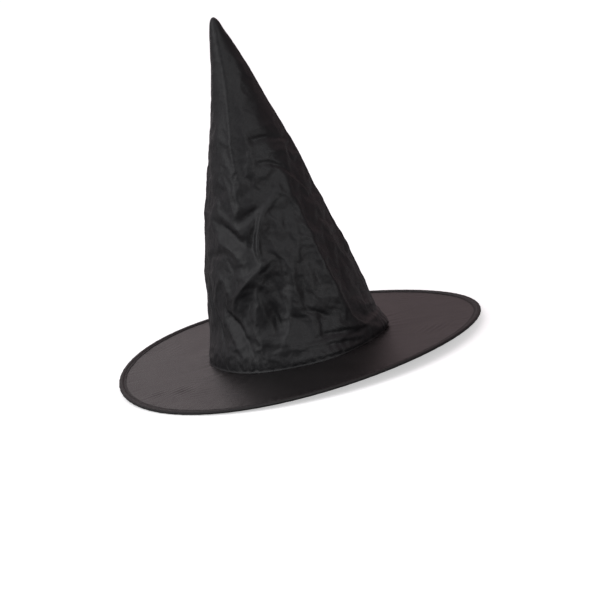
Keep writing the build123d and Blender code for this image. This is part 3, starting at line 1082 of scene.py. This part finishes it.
def inside_stitches(radius, height, diameter, start, count, pitch):
    """Paths of stitches on the band's inner wall, whose ends go out into it. pitch is an angle."""
    paths = []
    for k in range(count):
        at = start + k * pitch + STITCH_SHARES * STITCH_LENGTH / radius
        out = radius - diameter / 2 + STITCH_DIVE * STITCH_DIVES
        paths.append(band_place(out, at, np.full(len(at), height)))
    return paths


opening_count = floor(TURN * head_radius / STITCH_PITCH)
opening_height = band_bottom + OPENING_STITCH_HEIGHT
opening_paths = inside_stitches(
    head_radius, opening_height, THREAD, 0, opening_count, TURN / opening_count
)
dress(threads("opening_stitching", opening_paths, THREAD), black_thread, "opening_stitches")

# ---------------- care label
LABEL_WIDTH = 32 * MM
LABEL_HEIGHT = 11 * MM
LABEL_STITCH_INSET = 1.2 * MM
LABEL_COLUMNS, LABEL_ROWS = 49, 17
LABEL_OFF = 0.03 * MM  # from the headband's wall to the label's back
LABEL_RIPPLE = 0.10 * MM
LABEL_THREAD_OFF = 0.08 * MM  # room for that gap under the label, and a little over it


def label_face(depth):
    """A grid of points on the label, depth in from the band's wall."""
    half = LABEL_WIDTH / 2 / head_radius
    angles = BACK + np.linspace(half, -half, LABEL_COLUMNS)
    heights = label_bottom + np.linspace(0, LABEL_HEIGHT, LABEL_ROWS)
    angle, height = np.meshgrid(angles, heights)
    up = (height - label_bottom) / LABEL_HEIGHT
    ripple = LABEL_RIPPLE * (1 + np.sin(310 * angle)) * np.sin(pi * up)
    return band_place(head_radius - depth - ripple, angle, height)


def label_stitches():
    """Paths of the stitches along the label's upper and lower edges."""
    length = LABEL_WIDTH - 2 * LABEL_STITCH_INSET
    count = floor(length / STITCH_PITCH)
    span = length / head_radius * (1 - 1 / count)
    radius = head_radius - LABEL_WALL - LABEL_THREAD_OFF
    paths = []
    for up in (LABEL_STITCH_INSET, LABEL_HEIGHT - LABEL_STITCH_INSET):
        paths += inside_stitches(
            radius, label_bottom + up, LABEL_THREAD, BACK - span / 2, count, span / (count - 1)
        )
    return paths


label = slab("blank_label", label_face(LABEL_WALL + LABEL_OFF), label_face(LABEL_OFF))
dress(label, label_satin, "care_label")
label_stitching = threads("label_stitching", label_stitches(), LABEL_THREAD)
dress(label_stitching, white_thread, "label_stitches")

# ---------------- the crown's back seam, inside
SEAM_ROWS = 110
SEAM_NARROWING = 0.55  # how much narrower the flaps are at the top
FLAP_GAP = 0.15 * MM  # from the crown's inner face to the flaps
FLAP_CURL = 0.5 * MM  # how far their free edges curl in
SEAM_DIVE = 0.3 * MM
inner_wall = BVHTree.FromPolygons(crown_points.tolist(), crown_faces.tolist())


def on_inner_wall(x, height, depth):
    """The point of the crown's back wall at this x and height, depth in from its outer face."""
    start = Vector((x, 0, height))
    hit, normal = inner_wall.ray_cast(start, Vector((0, 1, 0)))[:2]
    if hit is None:
        hit, normal = inner_wall.find_nearest(start + Vector((0, 0.03, 0)))[:2]
    if normal.y < 0:
        normal = -normal
    return np.array(hit - normal * depth)


def seam_point(z, aside, depth):
    """The point of the inner wall at the CAD's height z, that far aside from the seam line."""
    lean = np.interp(z - upper_face, CROWN_PROFILE[:, 0], CROWN_PROFILE[:, 2])
    return on_inner_wall(-lean + aside, z + ROOT_LIFT, depth)


def seam_grid(side, depth):
    """One flap: from the seam line out to its free edge, which curls in a little."""
    rows = []
    for share in np.arange(SEAM_ROWS) / (SEAM_ROWS - 1):
        z = seam_bottom + share * (seam_top - seam_bottom)
        width = SEAM_FLAP * (1 - SEAM_NARROWING * smooth((share - 0.6) / 0.4))
        row = []
        for across in np.linspace(0.03, 1, 7):
            curl = FLAP_CURL * across**2 * (1 + np.sin(60 * share + 2 * side))
            row.append(seam_point(z, side * across * width, depth + curl))
        rows.append(row)
    grid = np.array(rows)
    return grid if side < 0 else grid[:, ::-1]


def seam_flaps():
    """Both flaps of the seam, as one piece."""
    points, faces = [], []
    for side in (-1, 1):
        flap = slab("flap", seam_grid(side, CLOTH + FLAP_GAP), seam_grid(side, 2 * CLOTH + FLAP_GAP))
        start = len(points)
        points += [tuple(v.co) for v in flap.data.vertices]
        faces += [tuple(start + n for n in p.vertices) for p in flap.data.polygons]
        bpy.data.objects.remove(flap)
    flat = np.array(points)[:, [0, 2]]
    return add_mesh("seam_flaps", points, faces, flat)


def seam_stitches():
    """Paths of the stitches up the seam, which lie on the flaps."""
    count = floor((seam_top - seam_bottom) / STITCH_PITCH)
    depth = 2 * CLOTH + FLAP_GAP + THREAD / 2
    paths = []
    for k in range(count):
        middle = seam_bottom + (k + 0.5) * (seam_top - seam_bottom) / count
        stops = zip(middle + STITCH_SHARES * STITCH_LENGTH, depth - STITCH_DIVES * SEAM_DIVE)
        paths.append([seam_point(z, 0, deep) for z, deep in stops])
    return paths


flaps = dress(seam_flaps(), crown_cloth, "crown_seam_flaps")
dress(threads("seam_stitching", seam_stitches(), THREAD), black_thread, "crown_seam_stitches")

# ---------------- floor
FLOOR_SIZE = 60
FLOOR_BELOW = 0.3 * MM  # how far it is under the plane that the CAD's brim rests on
FLOOR_BOUNCE = 0.35  # how light the floor is to anything but the camera


def pale_floor():
    """A pale glowing floor, which throws less light back up at the hat than it seems to."""
    half = FLOOR_SIZE / 2
    corners = [(-half, -half, 0), (half, -half, 0), (half, half, 0), (-half, half, 0)]
    mesh = bpy.data.meshes.new("floor")
    mesh.from_pydata(corners, [], [(0, 1, 2, 3)])
    made = bpy.data.objects.new("floor", mesh)
    made.location.z = -FLOOR_BELOW
    bpy.context.scene.collection.objects.link(made)
    paint = material(
        "floor_paint", (0.9, 0.9, 0.9), 0.9,
        Specular_IOR_Level=0.0, Emission_Color=(1, 1, 1, 1), Emission_Strength=0.5,
    )
    tree = paint.node_tree
    dull = node(tree, "ShaderNodeBsdfDiffuse", {"Color": (FLOOR_BOUNCE, FLOOR_BOUNCE, FLOOR_BOUNCE, 1)})
    seen = node(tree, "ShaderNodeLightPath").outputs["Is Camera Ray"]
    bright = tree.nodes["Principled BSDF"].outputs[0]
    mixed = node(tree, "ShaderNodeMixShader", {0: seen, 1: dull.outputs[0], 2: bright})
    tree.links.new(mixed.outputs[0], tree.nodes["Material Output"].inputs["Surface"])
    mesh.materials.append(paint)
    return made


ground = pale_floor()

# ---------------- light
WORLD_LEFT = 0.38  # the room's brightness on its left and on its right
WORLD_RIGHT = 0.165
WORLD_TOP = 2.4  # how many times brighter the room is above
WARM_SIDE = (0.6, 0.8, 0)  # the room is warmer to the right and at the back
COOL_TINT = (0.97, 0.95, 1.0)
WARM_TINT = (1.0, 0.76, 0.79)
HAT_MIDDLE = (0, 0, 0.15)


def studio_world():
    """A pale room, brighter on its left than on its right, brighter above, and a little warm at the back."""
    world = bpy.data.worlds.new("studio")
    world.use_nodes = True
    tree = world.node_tree
    direction = node(tree, "ShaderNodeTexCoord").outputs["Generated"]
    split = node(tree, "ShaderNodeSeparateXYZ", {"Vector": direction})
    sideways = map_range(tree, split.outputs["X"], -1, 1, WORLD_LEFT, WORLD_RIGHT)
    upwards = map_range(tree, split.outputs["Z"], 0.1, 0.9, 1, WORLD_TOP)
    facing = node(tree, "ShaderNodeVectorMath", {0: direction, 1: WARM_SIDE}, operation="DOT_PRODUCT")
    warmth = map_range(tree, facing.outputs["Value"], -0.3, 0.9)
    background = tree.nodes["Background"]
    tree.links.new(blend(tree, warmth, COOL_TINT, WARM_TINT), background.inputs["Color"])
    tree.links.new(product(tree, sideways, upwards), background.inputs["Strength"])
    return world


def place_lamp(name, lamp, place, aim):
    made = bpy.data.objects.new(name, lamp)
    made.location = place
    made.rotation_euler = (Vector(aim) - Vector(place)).to_track_quat("-Z", "Y").to_euler()
    bpy.context.scene.collection.objects.link(made)
    return made


def panel_light(name, place, aim, size, radiance):
    """A flat soft box which is as bright as radiance, and can't be seen itself."""
    lamp = bpy.data.lights.new(name, "AREA")
    lamp.shape = "RECTANGLE"
    lamp.size, lamp.size_y = size
    lamp.energy = pi * radiance * size[0] * size[1]
    place_lamp(name, lamp, place, aim).visible_camera = False


def sun_light(name, direction, spread, strength):
    """An even light over the whole floor, softened by its spread in degrees."""
    lamp = bpy.data.lights.new(name, "SUN")
    lamp.energy = strength
    lamp.angle = radians(spread)
    place_lamp(name, lamp, (0, 0, 0), direction)


bpy.context.scene.world = studio_world()
sun_light("overhead", direction=(0.5, 0.5, -1), spread=60, strength=0.4)
panel_light("left_box", (-3.0, -1.2, 1.3), HAT_MIDDLE, size=(1.8, 2.2), radiance=2.0)
panel_light("right_strip", (1.25, -2.75, 1.1), HAT_MIDDLE, size=(0.6, 1.8), radiance=5.0)
panel_light("back_box", (-0.42, 1.15, 0.5), (-0.1, 0, 0), size=(0.7, 0.45), radiance=0.6)

# ---------------- camera
CAMERA_DISTANCE = 2.0
CAMERA_ELEVATION = radians(15.27)
CAMERA_AIM = Vector((0.0102, 0, 0.0516))
CAMERA_ROLL = radians(12.21)
LENS, SENSOR_WIDTH = 116.2, 36  # in mm
FAR = 200  # the farthest distance that is drawn
camera = bpy.data.objects.new("camera", bpy.data.cameras.new("camera"))
camera.data.lens = LENS
camera.data.sensor_width = SENSOR_WIDTH
camera.data.clip_end = FAR
camera.location = (0, -CAMERA_DISTANCE * cos(CAMERA_ELEVATION), CAMERA_DISTANCE * sin(CAMERA_ELEVATION))
aimed = (CAMERA_AIM - camera.location).to_track_quat("-Z", "Y")
camera.rotation_euler = (aimed.to_matrix() @ Matrix.Rotation(-CAMERA_ROLL, 3, "Z")).to_euler()
bpy.context.scene.collection.objects.link(camera)
bpy.context.scene.camera = camera
bpy.context.scene.view_settings.view_transform = "Standard"
